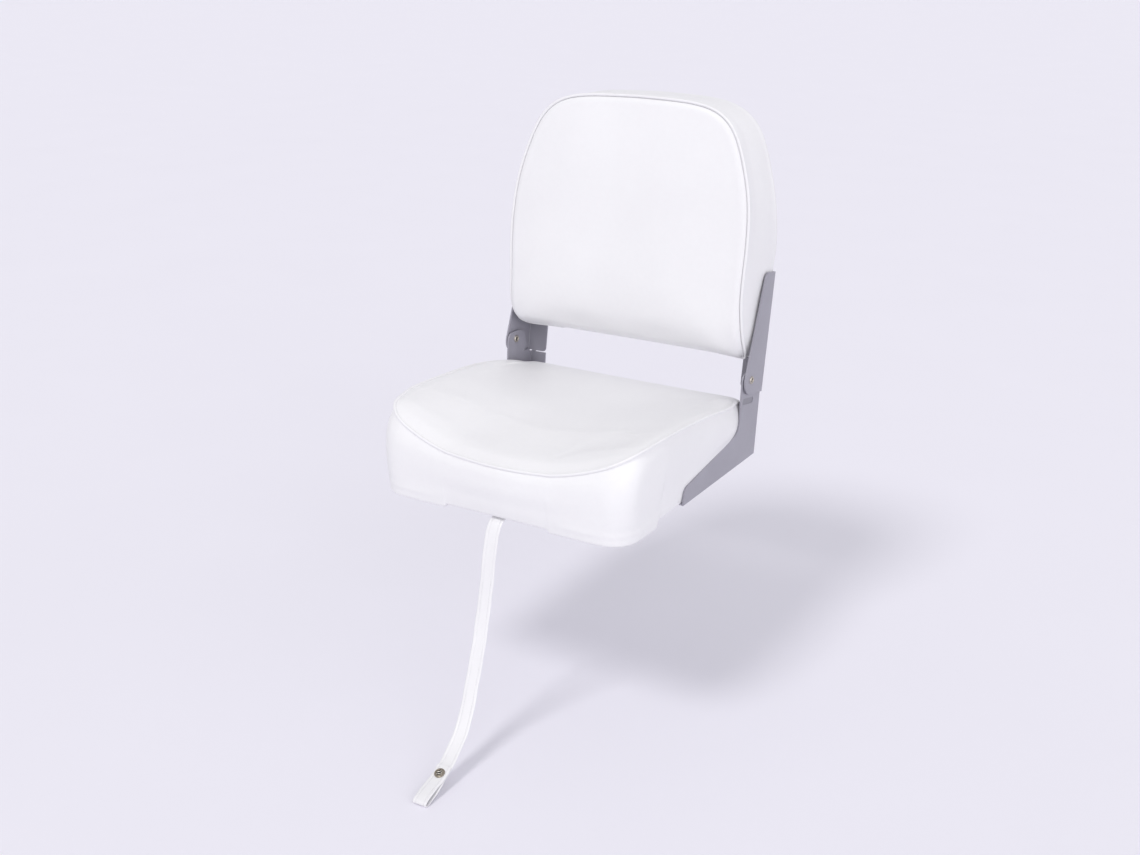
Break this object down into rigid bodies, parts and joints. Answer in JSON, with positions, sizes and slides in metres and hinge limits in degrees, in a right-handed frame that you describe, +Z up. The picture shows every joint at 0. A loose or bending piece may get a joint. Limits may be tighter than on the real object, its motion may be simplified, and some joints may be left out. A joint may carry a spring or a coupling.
{
  "type": "folding boat seat",
  "caption": "Low-back boat seat in white vinyl on a moulded pan; the padded backrest folds forward on riveted steel hinge brackets, with a hanging snap strap.",
  "frame": {"origin": "middle of the square mounting pad on the pan's underside, where a pedestal or swivel bolts on", "axes": "+Z up, the seat faces -Y, +X is the sitter's left, and both hinges turn about +X"},
  "size_m": [0.4424, 0.6847, 0.8695],
  "materials": {
    "white_vinyl": "satin",
    "grey_powder_coat": "satin",
    "pan_plastic": "matte",
    "foam": "matte",
    "board_plastic": "matte",
    "nickel": "polished",
    "zinc_steel": "satin",
    "nylon": "matte"
  },
  "bodies": {
    "seat": {"seat_pan": "pan_plastic", "seat_foam": "foam", "seat_cover": "white_vinyl", "seat_piping": "white_vinyl", "lower_bracket_left": "grey_powder_coat", "lower_bracket_right": "grey_powder_coat", "pivot_rivet_left": "nickel", "pivot_rivet_right": "nickel", "pivot_washer_left": "nylon", "pivot_washer_right": "nylon", "foot_screw_1": "zinc_steel", "foot_screw_2": "zinc_steel", "foot_screw_3": "zinc_steel", "foot_screw_4": "zinc_steel", "foot_screw_5": "zinc_steel", "foot_screw_6": "zinc_steel", "t_nut_1": "zinc_steel", "t_nut_2": "zinc_steel", "t_nut_3": "zinc_steel", "t_nut_4": "zinc_steel", "strap": "white_vinyl", "strap_screw": "zinc_steel", "strap_washer": "zinc_steel", "snap_cap": "nickel", "snap_socket": "nickel"},
    "backrest": {"back_board": "board_plastic", "back_foam": "foam", "back_cover": "white_vinyl", "back_rear_panel": "white_vinyl", "back_piping": "white_vinyl", "snap_stud": "nickel", "upper_bracket_left": "grey_powder_coat", "upper_bracket_right": "grey_powder_coat", "back_screw_1": "zinc_steel", "back_screw_2": "zinc_steel", "back_screw_3": "zinc_steel", "back_screw_4": "zinc_steel", "back_screw_5": "zinc_steel", "back_screw_6": "zinc_steel"}
  },
  "joints": [
    {"name": "back_fold", "type": "hinge", "parent": "seat", "child": "backrest", "pos_m": [0, 0.18, 0.131], "axis": [1, 0, 0], "range_deg": [0, 76]}
  ]
}
